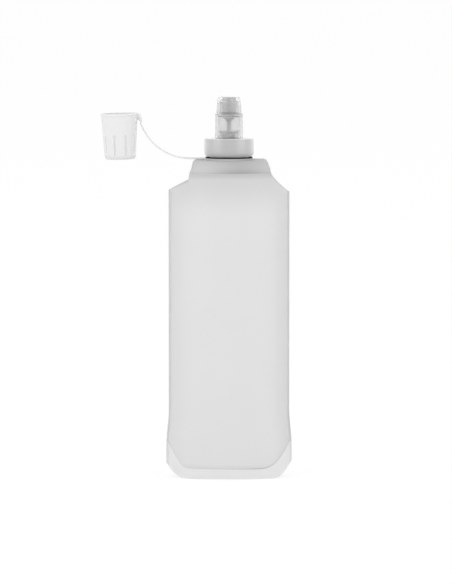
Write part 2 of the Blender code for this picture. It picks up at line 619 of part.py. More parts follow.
def add_dust_cap():
    """A cup with its mouth up. Narrow flutes run up its wall from near the closed end."""
    end_z = CAP_RIM_Z - CAP_HEIGHT
    rim = CAP_HEIGHT - CAP_RIM_THICKNESS

    def wall(height):
        return CAP_END_RADIUS + (CAP_MOUTH_RADIUS - CAP_END_RADIUS) * height / rim

    flute_rows = (FLUTE_LOW, FLUTE_LOW + FLUTE_RUNOUT, FLUTE_HIGH - FLUTE_RUNOUT, FLUTE_HIGH)
    profile = softened((
        (0, 0), (CAP_END_RADIUS, 0, CAP_END_FILLET), *((wall(h), h) for h in flute_rows), (wall(rim), rim),
        (CAP_RADIUS, rim), (CAP_RADIUS, CAP_HEIGHT), (CAP_MOUTH_RADIUS - CAP_WALL, CAP_HEIGHT),
        (wall(CAP_WALL) - CAP_WALL, CAP_WALL, CAP_END_FILLET), (0, CAP_WALL)))

    sides = FLUTE_HALF_ANGLE * np.array(FLUTE_SIDE_SHARES)
    sides = np.concatenate([-sides[:0:-1], sides])
    turns = [(FLUTE_PHASE + math.tau * k / FLUTES + side, side == 0) for k in range(FLUTES) for side in sides]
    bm = bmesh.new()
    rings = []
    for r, h in profile[1:-1]:
        outside = r > wall(h) - CAP_WALL / 2
        cut = FLUTE_DEPTH if outside and abs(h - (FLUTE_LOW + FLUTE_HIGH) / 2) < (
            FLUTE_HIGH - FLUTE_LOW - FLUTE_RUNOUT) / 2 else 0
        rings.append([bm.verts.new(((r - cut * grooved) * math.cos(turn) - CAP_DISTANCE,
                                    (r - cut * grooved) * math.sin(turn), end_z + h)) for turn, grooved in turns])
    for low, high in zip(rings, rings[1:]):
        for i in range(len(low)):
            bm.faces.new((low[i - 1], low[i], high[i], high[i - 1]))
    for ring, h in ((rings[0], 0), (rings[-1], CAP_WALL)):
        pole = bm.verts.new((-CAP_DISTANCE, 0, end_z + h))
        for i in range(len(ring)):
            bm.faces.new((ring[i - 1], ring[i], pole))
    new_object("dust_cap", bm, cap_finish, origin=(-CAP_DISTANCE, 0, CAP_RIM_Z))


def strap_runs():
    """The lengths of the strap's straight runs, before and after its bend, that bring its end to the lug."""
    bend_across = STRAP_BEND_RADIUS * (math.sin(STRAP_END_ANGLE) - math.sin(STRAP_START_ANGLE))
    bend_up = STRAP_BEND_RADIUS * (math.cos(STRAP_START_ANGLE) - math.cos(STRAP_END_ANGLE))
    clearance = GAP + STRAP_THICKNESS / 2 * math.cos(STRAP_END_ANGLE)
    across = LUG_PIVOT_X - BEND_X - bend_across
    up = LUG_LOW_Z - clearance - TETHER_Z - bend_up
    turn = math.sin(STRAP_END_ANGLE - STRAP_START_ANGLE)
    first = (across * math.sin(STRAP_END_ANGLE) - up * math.cos(STRAP_END_ANGLE)) / turn
    last = (up * math.cos(STRAP_START_ANGLE) - across * math.sin(STRAP_START_ANGLE)) / turn
    return first, last


def strap_place(length):
    """The strap's middle and its heading a length along it: nearly level, round a bend, then straight up to the cap."""
    first, _ = strap_runs()
    level = min(length, first)
    turned_by = min(max(length - first, 0) / STRAP_BEND_RADIUS, STRAP_END_ANGLE - STRAP_START_ANGLE)
    heading = STRAP_START_ANGLE + turned_by
    steep = max(length - first - STRAP_BEND_RADIUS * turned_by, 0)
    across = (level * math.cos(STRAP_START_ANGLE) + steep * math.cos(heading)
              + STRAP_BEND_RADIUS * (math.sin(heading) - math.sin(STRAP_START_ANGLE)))
    up = (level * math.sin(STRAP_START_ANGLE) + steep * math.sin(heading)
          + STRAP_BEND_RADIUS * (math.cos(STRAP_START_ANGLE) - math.cos(heading)))
    return Vector((-BEND_X - across, 0, TETHER_Z + up)), heading


def add_strap_half(name, start, end):
    """A stretch of the strap: its flat section carried along its line."""
    rings = []
    for k in range(STRAP_STEPS + 1):
        middle, heading = strap_place(start + (end - start) * k / STRAP_STEPS)
        out = Vector((math.sin(heading), 0, math.cos(heading))) * (STRAP_THICKNESS / 2)
        side = Vector((0, STRAP_WIDTH / 2, 0))
        rings.append([middle + corner for corner in (out + side, out - side, -out - side, side - out)])
    new_object(name, sleeve_of_rings(rings), cap_finish, origin=(-BEND_X, 0, TETHER_Z))


def add_tether():
    """The ring round the neck with its tab, the strap in two halves and the lug on the cap's rim."""
    ring_low = TETHER_Z - RING_THICKNESS / 2
    ring_high = TETHER_Z + RING_THICKNESS / 2
    ring = new_object("tether_ring", turned((
        (RING_BORE_RADIUS, ring_low), (RING_RADIUS, ring_low), (RING_RADIUS, ring_high),
        (RING_BORE_RADIUS, ring_high))), ring_finish)
    tab = block((GAP / 2 - BEND_X, -STRAP_WIDTH / 2, TETHER_Z - STRAP_THICKNESS / 2),
                (TAB_OVERLAP - RING_RADIUS, STRAP_WIDTH / 2, TETHER_Z + STRAP_THICKNESS / 2))
    combine(ring, cutter("tether_tab_form", tab), "UNION")

    first, last = strap_runs()
    length = first + STRAP_BEND_RADIUS * (STRAP_END_ANGLE - STRAP_START_ANGLE) + last
    split = length * STRAP_SPLIT_SHARE
    add_strap_half("tether_strap_lower", GAP / 2, split - GAP / 2)
    add_strap_half("tether_strap_upper", split + GAP / 2, length)

    lug = new_object("cap_lug", block((-LUG_OUTER_X, -LUG_WIDTH / 2, LUG_LOW_Z),
                                      (-LUG_INNER_X, LUG_WIDTH / 2, LUG_HIGH_Z)), cap_finish,
                     origin=(-LUG_PIVOT_X, 0, LUG_PIVOT_Z))
    edge = lug.modifiers.new("soft edges", "BEVEL")
    edge.width = LUG_BEVEL
    edge.segments = BEVEL_STEPS


for old in list(bpy.data.objects):
    bpy.data.objects.remove(old)

flask_axis = bpy.data.objects.new("flask_axis", None)
flask_axis.location = (AXIS_X, 0, 0)
bpy.context.collection.objects.link(flask_axis)

film_finish = material("frosted film", (0.80, 0.80, 0.80), 0.45)
moulding_finish = material("milky moulding", (0.74, 0.74, 0.74), 0.4)
collar_finish = material("white collar", (0.66, 0.66, 0.66), 0.35)
clear_finish = material("clear valve", (0.80, 0.81, 0.81), 0.12, 0.8)
plug_finish = material("valve post", (0.50, 0.50, 0.50), 0.25)
cap_finish = material("translucent cap", (0.86, 0.86, 0.86), 0.3, 0.4)
ring_finish = material("dark ring", (0.05, 0.05, 0.05), 0.45)
rubber_finish = material("silicone seal", (0.72, 0.72, 0.72), 0.5)
guide_finish = material("guide", (0.5, 0.5, 0.5), 0.5)

add_panel("front_panel", -1)
add_panel("back_panel", 1)
add_gussets()
add_neck()
add_collar()
add_valve_base()
add_valve_post()
add_sliding_spout()
add_dust_cap()
add_tether()
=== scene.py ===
"""A stand-up soft flask of frosted film, with a screw collar, a push-pull bite valve and a dust cap on a strap."""

# %% [markdown]
# The imported CAD model is the fixed frame of this scene. Every new surface is laid over the solid that it stands for,
# in the same metres, and rides on the same body, so the looks can be as fine as we like while the mechanism stays
# as it was.

# %% Load the frame
import math

import bmesh
import bpy
import numpy as np
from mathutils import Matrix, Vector


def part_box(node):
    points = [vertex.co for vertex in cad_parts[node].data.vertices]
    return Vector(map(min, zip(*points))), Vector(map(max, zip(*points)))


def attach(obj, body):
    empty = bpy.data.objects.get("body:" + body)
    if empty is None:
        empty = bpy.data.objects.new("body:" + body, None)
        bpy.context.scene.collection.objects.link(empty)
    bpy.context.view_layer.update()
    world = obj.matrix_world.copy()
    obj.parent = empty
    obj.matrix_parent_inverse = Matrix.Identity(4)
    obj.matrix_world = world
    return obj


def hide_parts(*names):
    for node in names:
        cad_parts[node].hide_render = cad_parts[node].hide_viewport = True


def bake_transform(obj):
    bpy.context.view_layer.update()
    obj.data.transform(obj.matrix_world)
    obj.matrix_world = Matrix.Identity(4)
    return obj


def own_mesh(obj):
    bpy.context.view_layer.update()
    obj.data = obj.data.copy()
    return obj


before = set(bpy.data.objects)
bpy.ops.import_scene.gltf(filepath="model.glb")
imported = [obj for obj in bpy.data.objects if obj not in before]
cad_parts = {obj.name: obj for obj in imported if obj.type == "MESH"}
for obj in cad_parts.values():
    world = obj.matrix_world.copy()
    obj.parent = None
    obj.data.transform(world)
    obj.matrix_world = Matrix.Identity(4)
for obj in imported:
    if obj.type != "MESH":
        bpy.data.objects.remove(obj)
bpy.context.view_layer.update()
collar_low, collar_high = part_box("screw_collar")
AXIS_X = (collar_low.x + collar_high.x) / 2
MM = 0.001
print(f"{len(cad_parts)} CAD nodes, and the flask's axis at x = {AXIS_X:.4f}")

# %% [markdown]
# The photograph was taken with a long lens, from a little higher than the flask and square on to it. A long lens
# keeps the flask's sides parallel. The camera stands three metres away, and its tilt follows from the height of the
# point that falls in the middle of the picture.

# %% Camera
CAMERA_DISTANCE = 3.06
CAMERA_HEIGHT = 0.362
MIDDLE_HEIGHT = 0.1232  # of the point in the picture's middle
MIDDLE_LEFT = 0.002  # of that point, from the flask's axis
PICTURE_HEIGHT = 0.3875  # that the picture takes in, at the flask
SENSOR_WIDTH = 36  # in millimetres
FARTHEST_SEEN = 50

camera = bpy.data.objects.new("camera", bpy.data.cameras.new("camera"))
bpy.context.scene.collection.objects.link(camera)
aim = Vector((AXIS_X - MIDDLE_LEFT, 0, MIDDLE_HEIGHT))
camera.location = (aim.x, -CAMERA_DISTANCE, CAMERA_HEIGHT)
camera.rotation_euler = (aim - camera.location).to_track_quat("-Z", "Y").to_euler()
camera.data.sensor_width = SENSOR_WIDTH
camera.data.lens = SENSOR_WIDTH * (aim - camera.location).length / PICTURE_HEIGHT
camera.data.clip_end = FARTHEST_SEEN
bpy.context.scene.camera = camera
print(f"lens {camera.data.lens:.0f} mm")

# %% [markdown]
# Shader maths reads best as a sum on paper. A small class wraps a socket, so that 1 - mask or cloud * 0.2 adds the
# Math node for it. A second class holds a node tree, and its one method adds any other node. The same two serve the
# materials and the world.

# %% Sockets in sums


class Value:
    """A shader socket that can stand in a sum; each operator adds one Math node."""

    def __init__(self, nodes, socket):
        self.nodes, self.socket = nodes, socket

    def maths(self, operation, first, second=0.0):
        return self.nodes.node("ShaderNodeMath", {"operation": operation}, {0: first, 1: second})

    def __add__(self, other):
        return self.maths("ADD", self, other)

    def __mul__(self, other):
        return self.maths("MULTIPLY", self, other)

    def __sub__(self, other):
        return self.maths("SUBTRACT", self, other)

    def __rsub__(self, other):
        return self.maths("SUBTRACT", other, self)

    def larger(self, other):
        return self.maths("MAXIMUM", self, other)

    def sine(self):
        return self.maths("SINE", self)

    __radd__, __rmul__ = __add__, __mul__


class Nodes:
    """A node tree, with one method that adds any node to it."""

    def __init__(self, tree):
        self.tree = tree

    def node(self, kind, settings=None, inputs=None, output=0):
        """Any node: its settings first, then the values or links of its sockets."""
        made = self.tree.nodes.new(kind)
        for name, value in (settings or {}).items():
            setattr(made, name, value)
        for key, value in (inputs or {}).items():
            self.feed(made.inputs[key], value)
        return Value(self, made.outputs[output])

    def feed(self, socket, value):
        if isinstance(value, Value):
            self.tree.links.new(value.socket, socket)
        else:
            socket.default_value = value


print("sockets can stand in sums")

# %% [markdown]
# A finish is a material round one Principled shader. Values that are the same all over are written on the shader's
# own sockets. What changes from place to place is fed in, from the point on the piece or from an attribute of its
# mesh, because both stay with the piece when it moves.

# %% Finishes


class Finish(Nodes):
    """A material whose fixed values are written on the Principled shader's own sockets."""

    def __init__(self, name, **fixed):
        self.material = bpy.data.materials.new(name)
        self.material.use_nodes = True
        super().__init__(self.material.node_tree)
        self.shader = self.tree.nodes["Principled BSDF"]
        for socket, value in fixed.items():
            self.shader.inputs[socket.replace("_", " ")].default_value = value

    def place(self):
        """The point on the piece, in metres."""
        return self.node("ShaderNodeTexCoord", output="Object")

    def noise(self, scale, detail=2.0, stretch=(1, 1, 1)):
        """A soft cloud around 0.5; its grain is about 1 / scale metres, and longer along a stretch below 1."""
        point = self.node("ShaderNodeVectorMath", {"operation": "MULTIPLY"}, {0: self.place(), 1: stretch})
        return self.node("ShaderNodeTexNoise", None, {"Vector": point, "Scale": scale, "Detail": detail})

    def axis(self, letter):
        return self.node("ShaderNodeSeparateXYZ", None, {0: self.place()}, letter)

    def attribute(self, name):
        return self.node("ShaderNodeAttribute", {"attribute_name": name}, output="Fac")

    def between(self, value, low, high):
        """From 0 at low to 1 at high, and level beyond both."""
        return self.node("ShaderNodeMapRange", {"interpolation_type": "SMOOTHSTEP"},
                         {"Value": value, "From Min": low, "From Max": high})

    def mix(self, share, first, second):
        """A colour between two colours."""
        return self.node("ShaderNodeMix", {"data_type": "RGBA"}, {0: share, 6: first, 7: second}, 2)

    def banded(self, tint, level, bands):
        """The tint, with another share of the level in each band of heights: low, high, share, soft edge."""
        for low, high, share, soft in bands:
            up = self.axis("Z")
            inside = self.between(up, low - soft, low) * (1 - self.between(up, high, high + soft))
            tint = self.mix(inside, tint, grey(level * share))
        return tint

    def colour(self, value):
        self.feed(self.shader.inputs["Base Color"], value)

    def roughness(self, value):
        self.feed(self.shader.inputs["Roughness"], value)

    def relief(self, height, distance):
        """Fine relief: a height of 1 stands that many metres proud."""
        self.feed(self.shader.inputs["Normal"], self.node(
            "ShaderNodeBump", None, {"Strength": 1.0, "Distance": distance, "Height": height}))


def grey(level, blue=0.0):
    """An even colour of that level, with a little more blue if asked."""
    return (level, level + blue / 2, level + blue, 1)


print("a finish can be written")

# %% [markdown]
# The flask's film is soft plastic with a fine frost on it, so light spreads as it passes through and its gloss is
# dull. A painted white would look like card. Here a part of the light goes through the film, the frost is a relief a
# few hundredths of a millimetre deep, and a slow cloud changes the colour by a hundredth or two. Where the layers are
# welded, the die leaves a fine diamond pattern. Attributes of the mesh say where the welds and the skirt are, where a
# painted shadow line lies along the U weld, and how near the side a point is, for painted shade towards the sides.
# Bands of height add painted shade towards the neck.

# %% Film
DIAMOND_PITCH = 0.0011
FILM_RELIEF = 0.00005
# Each band is low, high, share, soft edge: painted shade towards the neck, and a painted shadow line below the top edge
FILM_SHADE_BANDS = [(0.200, 0.300, 0.87, 0.028), (0.2022, 0.2030, 0.72, 0.0040)]


def frosted_film(name, level, through, painted_side_level):
    """Cloud, then painted shade of bands, sides and seam shadow, and the skirt; the relief is frost and a product of
    two slanted sines.
    """
    film = Finish(name, Roughness=0.45, IOR=1.48, Transmission_Weight=through)
    weld, skirt, seam_shadow, side = (film.attribute(key) for key in ("weld", "skirt", "seam_shadow", "side"))
    cloud = film.noise(28, 3)
    tint = film.mix(cloud, grey(level * 0.985), grey(level * 1.015))
    tint = film.banded(tint, level, FILM_SHADE_BANDS)
    tint = film.mix(side, tint, grey(level * painted_side_level))
    tint = film.mix(skirt, tint, grey(level * 1.08))
    film.colour(film.mix(seam_shadow, tint, grey(level * 0.55)))
    film.roughness(0.40 + 0.10 * cloud + 0.06 * weld)
    across, up = film.axis("X"), film.axis("Z")
    turns = math.tau / DIAMOND_PITCH
    diamonds = ((across + up) * turns).sine() * ((across - up) * turns).sine()
    frost = film.noise(2600, 2)
    film.relief(frost * 0.45 + diamonds * weld * 0.5, FILM_RELIEF)
    return film.material


# Painted shade: the panels darken towards their side welds, more on the right
FILM_FINISH = frosted_film("frosted_film", 0.81, 0.25, 0.93)
# Painted shade: the top gusset is the same film written darker, with painted light towards its ends
SHADED_GUSSET_FINISH = frosted_film("shaded_gusset_film", 0.497, 0.10, 1.06)
print("film finishes made")

# %% [markdown]
# The hard parts are injection moulded. A satin white collar shows soft reflections and faint flow marks; the neck is
# milky, and the cap and strap are a thin translucent plastic. One function makes all of them from a level of grey,
# a roughness and how much light passes. The collar's edges are paler than its middle, so it has a bloom, which is a
# sheen, under a coat, and its own level is written darker to leave room for them.

# %% Moulded plastics
COAT_ROUGHNESS = 0.3
BLOOM_ROUGHNESS = 0.7
MOULDED_RELIEF = 0.00003
# Painted shade on the collar: darker at its rounded foot and along its upper edge
COLLAR_SHADE_BANDS = [(0.210, 0.2137, 0.84, 0.005), (0.22485, 0.2260, 0.80, 0.0003)]  # its foot and its upper edge
# Painted shade on the stem, the plug and the plug's tip, which look darker behind the clear walls in front of them
POST_SHADE_BANDS = [(0.2303, 0.2385, 0.56, 0.0010), (0.2420, 0.2550, 0.61, 0.0010), (0.2499, 0.2550, 0.46, 0.0004)]
# Painted shade along the cap's rounded closed end
CAP_SHADE_BANDS = [(0.2125, 0.2135, 0.93, 0.0008)]  # the closed end's edge


def moulded(name, level, rough, through=0.0, grain=900, gloss=0.5, coat=0.0, bloom=0.0, bands=()):
    """A level of grey with flow marks, longer upwards, and a relief of fine grain and the same marks."""
    plastic = Finish(name, IOR=1.49, Transmission_Weight=through, Specular_IOR_Level=gloss,
                     Coat_Weight=coat, Coat_Roughness=COAT_ROUGHNESS,
                     Sheen_Weight=bloom, Sheen_Roughness=BLOOM_ROUGHNESS)
    flow = plastic.noise(70, 3, (1, 1, 0.35))
    tint = plastic.mix(flow, grey(level * 0.98), grey(level * 1.02))
    plastic.colour(plastic.banded(tint, level, bands))
    plastic.roughness(rough - 0.05 + 0.10 * flow)
    plastic.relief(plastic.noise(grain, 2) * 0.6 + flow, MOULDED_RELIEF)
    return plastic.material


COLLAR_FINISH = moulded("satin_collar", 0.31, 0.36, gloss=0.8, coat=1.0, bloom=1.0, bands=COLLAR_SHADE_BANDS)
NECK_FINISH = moulded("milky_neck", 0.70, 0.40)
# Painted shade: the flange's rim is the neck's plastic written darker, for the shade below the slit
SHADED_FLANGE_FINISH = moulded("shaded_flange_rim", 0.45, 0.40)
POST_FINISH = moulded("shaded_white_post", 1.0, 0.30, bands=POST_SHADE_BANDS)
CAP_FINISH = moulded("translucent_cap", 0.80, 0.38, 0.12, bands=CAP_SHADE_BANDS)
STRAP_FINISH = moulded("translucent_strap", 0.82, 0.42, 0.12, grain=600)
# Painted shade: the tether ring is coloured near-black for the dark slit under the collar
SLIT_SHADE_FINISH = moulded("slit_shade_ring", 0.025, 0.60, gloss=0.15)
RUBBER_FINISH = moulded("silicone_ring", 0.66, 0.50, grain=1500)
print("moulded finishes made")

# %% [markdown]
# The valve's sleeve and mouthpiece are clear, so the post inside is seen through them. Real glassy transmission bends
# the light in the walls and gives the bright upright lines of the photograph, which a see-through alpha can't. The
# index of real plastic, about 1.46, blurred the post's edges more than the photograph does. So the bending of each
# part is lower.

# %% Clear plastics
CLEAR_RELIEF = 0.00002
# The joint is thicker, and its band is also tinted darker as painted shade for the dark ring across the valve
JOINT_SHADE = (0.2398, 0.2424, 0.87, 0.0006)  # where sleeve and mouthpiece are pressed together: thicker, and darker
NIPPLE = (0.2427, 0.2515, 1.13, 0.0004)  # the sleeve's end inside the mouthpiece: thinner, and paler


def clear_plastic(name, level, rough, bands=(), bending=1.3):
    """A tint that the light takes on in each wall it passes, with faint upright flow marks."""
    clear = Finish(name, IOR=bending, Transmission_Weight=0.90)
    flow = clear.noise(160, 2, (1, 1, 0.25))
    tint = clear.mix(flow, grey(level * 0.98, 0.005), grey(level * 1.01, 0.005))
    clear.colour(clear.banded(tint, level, bands))
    clear.roughness(rough + 0.04 * flow)
    clear.relief(flow, CLEAR_RELIEF)
    return clear.material


SLEEVE_FINISH = clear_plastic("clear_sleeve", 0.86, 0.12, [JOINT_SHADE, NIPPLE], bending=1.34)
MOUTH_FINISH = clear_plastic("clear_mouthpiece", 0.93, 0.16, [JOINT_SHADE])
BASE_FINISH = clear_plastic("clear_base", 0.99, 0.10, bending=1.08)
SEAL_FINISH = clear_plastic("clear_rubber", 0.88, 0.35, bending=1.1)
print("clear finishes made")

# %% [markdown]
# Almost every piece is a grid of points bent into a shape: an outline carried round an axis, a section carried along
# a line, or a sheet. The whole grid is worked out at once, and one function makes the quads between its points. A
# closed shell has a volume, and its sign tells whether the faces look outwards.

# %% Quads of a grid


def grid_faces(rows, columns, round_rows=False, round_columns=False):
    """Quads between neighbouring points, four numbers each; a round direction joins its end to its start."""
    i = np.arange(rows - (not round_rows))[:, None]
    j = np.arange(columns - (not round_columns))[None, :]
    low, high, left, right = i * columns, (i + 1) % rows * columns, j, (j + 1) % columns
    return np.stack([low + left, low + right, high + right, high + left], -1).reshape(-1, 4)


def shell_faces(rows, columns):
    """Quads of two matching grids, the second behind the first, and of the wall round their edge."""
    count = rows * columns
    front = grid_faces(rows, columns)
    index = np.arange(count).reshape(rows, columns)
    edge = np.concatenate([index[0, :-1], index[:-1, -1], index[-1, :0:-1], index[:0:-1, 0]])
    after = np.roll(edge, -1)
    return np.concatenate([front, front[:, ::-1] + count, np.stack([after, edge, edge + count, after + count], -1)])


def volume(points, faces):
    """Six times the volume inside, from the triple product of each face's corners."""
    a, b, c, d = (points[faces[:, k]] for k in range(4))
    return (np.cross(a, b) * c).sum() + (np.cross(a, c) * d).sum()


print(f"3 by 4 points make {len(grid_faces(3, 4))} quads, and {len(shell_faces(3, 4))} with a back and a wall")

# %% [markdown]
# One function turns such grids into an object. It turns each shell the right way out, closes the poles, shades the
# faces smooth but keeps real corners sharp, hides the CAD nodes that the piece stands for, and hangs it on its body.

# %% Grids into pieces
SHARP_FROM = math.radians(38)
SAME_PLACE = 1e-7


def close_poles(mesh):
    """Merges the points that fall together where a spun outline meets its axis."""
    bm = bmesh.new()
    bm.from_mesh(mesh)
    bmesh.ops.remove_doubles(bm, verts=bm.verts, dist=SAME_PLACE)
    bm.to_mesh(mesh)
    bm.free()


def piece(name, parts, finish, nodes=(), body=None, attributes=None):
    """A named object from a list of (points, faces) shells, each turned the right way out."""
    points, faces, start = [], [], 0
    for shell, quads in parts:
        shell = shell.reshape(-1, 3)
        faces.append((quads if volume(shell, quads) > 0 else quads[:, ::-1]) + start)
        points.append(shell)
        start += len(shell)
    points, faces = np.concatenate(points), np.concatenate(faces)
    mesh = bpy.data.meshes.new(name)
    mesh.from_pydata(points, [], faces.tolist())
    for key, values in (attributes or {}).items():
        mesh.attributes.new(key, "FLOAT", "POINT").data.foreach_set("value", values.astype(np.float32).ravel())
    made = bpy.data.objects.new(name, mesh)
    bpy.context.scene.collection.objects.link(made)
    close_poles(mesh)
    mesh.shade_smooth()
    mesh.set_sharp_from_angle(angle=SHARP_FROM)
    mesh.materials.append(finish)
    if nodes:
        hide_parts(*nodes)
    if body:
        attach(made, body)
    print(f"{name}: {len(mesh.polygons)} faces")
    return made


print("pieces can be made")

# %% [markdown]
# A moulded part has no knife edges. Its outline is written as corners, in millimetres, and a third number rounds the
# corner off with an arc that touches both of its sides. A Bevel modifier could round the edges too, but here each
# corner gets a radius of its own.

# %% Outlines and turned parts


def unit(vector):
    """The same heading with a length of one."""
    return vector / np.linalg.norm(vector, axis=-1, keepdims=True)


def rounded(corners, steps=6):
    """A closed outline in metres, with the corners that have a radius made into arcs of even steps."""
    corners = [(*corner, 0)[:3] for corner in corners]
    points = []
    for k, (r, z, radius) in enumerate(corners):
        here = np.array((r, z))
        if not radius:
            points.append(here)
            continue
        back, ahead = unit(corners[k - 1][:2] - here), unit(corners[(k + 1) % len(corners)][:2] - here)
        half = np.arccos(back @ ahead) / 2
        centre = here + unit(back + ahead) * radius / np.sin(half)
        first, last = (here + side * radius / np.tan(half) - centre for side in (back, ahead))
        turn = math.pi - 2 * half
        t = np.linspace(0, 1, steps + 1)[:, None]
        points.extend(centre + (np.sin((1 - t) * turn) * first + np.sin(t * turn) * last) / np.sin(turn))
    return np.array(points) * MM


def spun(outline, steps=128, centre_x=AXIS_X):
    """Points of an outline round an upright axis: x = centre + r cos a, y = r sin a, z as it is."""
    angle = np.arange(steps) * math.tau / steps
    r, z = outline.T[:, :, None]
    return np.stack([centre_x + r * np.cos(angle), r * np.sin(angle), z + 0 * angle], -1)


def turned(corners, steps=128):
    """One shell spun from an outline; an outline that starts and ends on the axis is open there."""
    outline = rounded(corners)
    on_axis = outline[0, 0] < 1e-9 and outline[-1, 0] < 1e-9
    return spun(outline, steps), grid_faces(len(outline), steps, not on_axis, True)


print(f"a square with one round corner has {len(rounded([(0, 0), (1, 0), (1, 1, 0.2), (0, 1)]))} points")

# %% [markdown]
# The collar is a cap nut with a rounded lower edge and a tight upper one. Inside is a screw thread, which shows when
# the collar is lifted off: a small ridge whose section is carried up a helix. Blender's Screw modifier could wind it
# as well, but it would end bluntly, and a formula lets it sink into the wall at both ends.

# %% Collar and its thread
LAND = 211.1  # height of the top gusset's flat land, in millimetres, from which the head is measured
RIDGE_SINK = 0.4  # into the wall, in millimetres
RIDGE_START = 0.1  # of a turn, in which it reaches its full height


def ridge(wall, height, low, turns, pitch=3.2, steps=96):
    """A thread: its four-cornered section goes up a helix, and its crest grows from the wall and goes back."""
    turn = np.linspace(0, turns, int(turns * steps) + 1)[:, None]
    full = np.clip(np.minimum(turn, turns - turn) / RIDGE_START, 0, 1)
    sink = -RIDGE_SINK * np.sign(height)
    crest = sink / 2 + (height - sink / 2) * full
    r = wall + np.concatenate([sink + 0 * turn, crest, crest, sink + 0 * turn], 1)
    z = low + pitch * turn + np.array((-0.7, -0.35, 0.35, 0.7))
    angle = math.tau * turn
    points = np.stack([AXIS_X + r * MM * np.cos(angle), r * MM * np.sin(angle), z * MM], -1)
    ends = np.array([[3, 2, 1, 0], [0, 1, 2, 3] + np.full(4, 4 * (len(turn) - 1))])
    return points, np.concatenate([grid_faces(len(turn), 4, False, True), ends])


piece("collar_nut", [
    turned([(15.2, LAND + 2.3, 0.4), (16.4, LAND + 4.0, 2.0), (16.4, LAND + 14.0, 0.4), (6.6, LAND + 14.0, 0.2),
            (6.6, LAND + 12.2), (14.55, LAND + 12.2, 0.4), (14.55, LAND + 2.3, 0.2)], 192),
    ridge(14.55, -1.2, LAND + 4.4, 1.17)], COLLAR_FINISH, ["screw_collar"], "collar")

# %% [markdown]
# The neck with its boat flange, and the seal on its lip, are right as they are in CAD and hardly seen, so they stay
# and only get their finishes.

# %% Neck and seal
for node, finish in (("neck", NECK_FINISH), ("neck_seal", RUBBER_FINISH)):
    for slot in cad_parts[node].material_slots:
        slot.material = finish
print("neck and seal finished")

# %% [markdown]
# The valve is four turned parts, one inside another: a base tube that the collar holds down, a fixed post with a
# cup, a thin stem and a plug, a sleeve that slides up the tube, and the soft mouthpiece on it. The first two stay with
# the collar. Each is an outline of corners spun round the axis, because that is how such parts are drawn and made.

# %% Valve base, ring and post
piece("base_tube", [turned([
    (13.0, LAND + 10.7, 0.2), (13.0, LAND + 11.9, 0.2), (6.25, LAND + 11.9, 0.3), (6.25, LAND + 17.6),
    (6.75, LAND + 17.6, 0.1), (6.75, LAND + 18.0), (5.85, LAND + 18.0), (5.85, LAND + 19.0),
    (6.75, LAND + 19.0), (6.75, LAND + 19.4, 0.15), (5.2, LAND + 19.4, 0.2), (5.2, LAND + 13.2),
    (4.4, LAND + 13.2), (4.4, LAND + 10.7)])], BASE_FINISH, ["valve_base"], "collar")
piece("sliding_ring", [turned([
    (6.15, LAND + 18.3, 0.15), (6.8, LAND + 18.3, 0.18), (6.8, LAND + 18.7, 0.18), (6.15, LAND + 18.7, 0.15)])],
    SEAL_FINISH, ["spout_ring"], "collar")

# The stem flares out by a quarter ellipse: r = 6 - 4.5 cos a, height = 3.7 sin a
flare = [(6 - 4.5 * math.cos(a), LAND + 24.2 + 3.7 * math.sin(a)) for a in np.linspace(0, math.pi / 2, 24)]
piece("post", [turned([
    (0, LAND + 13.7), (2.0, LAND + 13.7, 0.8), (4.5, LAND + 15.0, 2.4), (5.0, LAND + 17.4, 1.6),
    (5.0, LAND + 18.8, 0.3), (4.2, LAND + 18.8, 0.3), (1.5, LAND + 17.6, 0.8), *flare, (6.0, LAND + 28.4, 0.15),
    (4.65, LAND + 28.4, 0.3), (4.65, LAND + 41.3, 1.6), (0, LAND + 41.3)], 96)],
    POST_FINISH, ["valve_post"], "collar")

# %% [markdown]
# The sleeve and the mouthpiece slide up together when the valve is opened. The sleeve ends in a narrow nipple, and the
# mouthpiece is pressed over it. Both are spun in finer steps, because clear walls show every corner of a polygon.

# %% Sleeve and mouthpiece
piece("sleeve", [turned([
    (9.15, LAND + 14.3, 0.3), (9.15, LAND + 30.4, 0.5), (6.1, LAND + 30.4, 0.3), (6.1, LAND + 38.3, 0.3),
    (5.1, LAND + 38.3, 0.3), (5.1, LAND + 28.7, 0.3), (7.1, LAND + 28.7, 0.3), (7.1, LAND + 15.1),
    (6.6, LAND + 15.1), (6.6, LAND + 14.3)], 160)], SLEEVE_FINISH, ["spout_sleeve"], "valve")
piece("mouthpiece", [turned([
    (6.4, LAND + 30.7), (8.35, LAND + 30.7, 0.5), (7.25, LAND + 41.5, 1.2), (4.8, LAND + 41.5, 0.6),
    (4.8, LAND + 38.6, 0.2), (6.4, LAND + 38.6, 0.3)], 160)], MOUTH_FINISH,
    ["bite_mouthpiece"], "valve")

# %% [markdown]
# The dust cap is a thin cup that hangs mouth up. Narrow flutes run up its wall for grip. Booleans could cut them, but
# their ends would be hard. Here the outline is spun with a fine step, and a flute is a dent that depends on the angle
# and the height: the wall's radius less a depth times a bell across the flute times a soft start and end along it.

# %% Dust cap
CAP_X = AXIS_X - 72.5 * MM
CAP_END = 211.4  # the closed end's height
FLUTES = 9
FLUTE_PHASE = math.radians(12.4)
FLUTE_HALF_ANGLE = math.radians(3.4)
FLUTE_DEPTH = 0.70
FLUTE_RUN = (2.2, 16.3)  # above the closed end
FLUTE_FADE = 0.9
CAP_MIDDLE = (CAP_END + 24) * MM  # the height that it leans about
CAP_LEAN = math.radians(-1.3)  # it hangs a little aslant, its end towards the flask


def eased(t):
    """From 0 to 1 with a soft start and end."""
    t = np.clip(t, 0, 1)
    return t**2 * (3 - 2 * t)


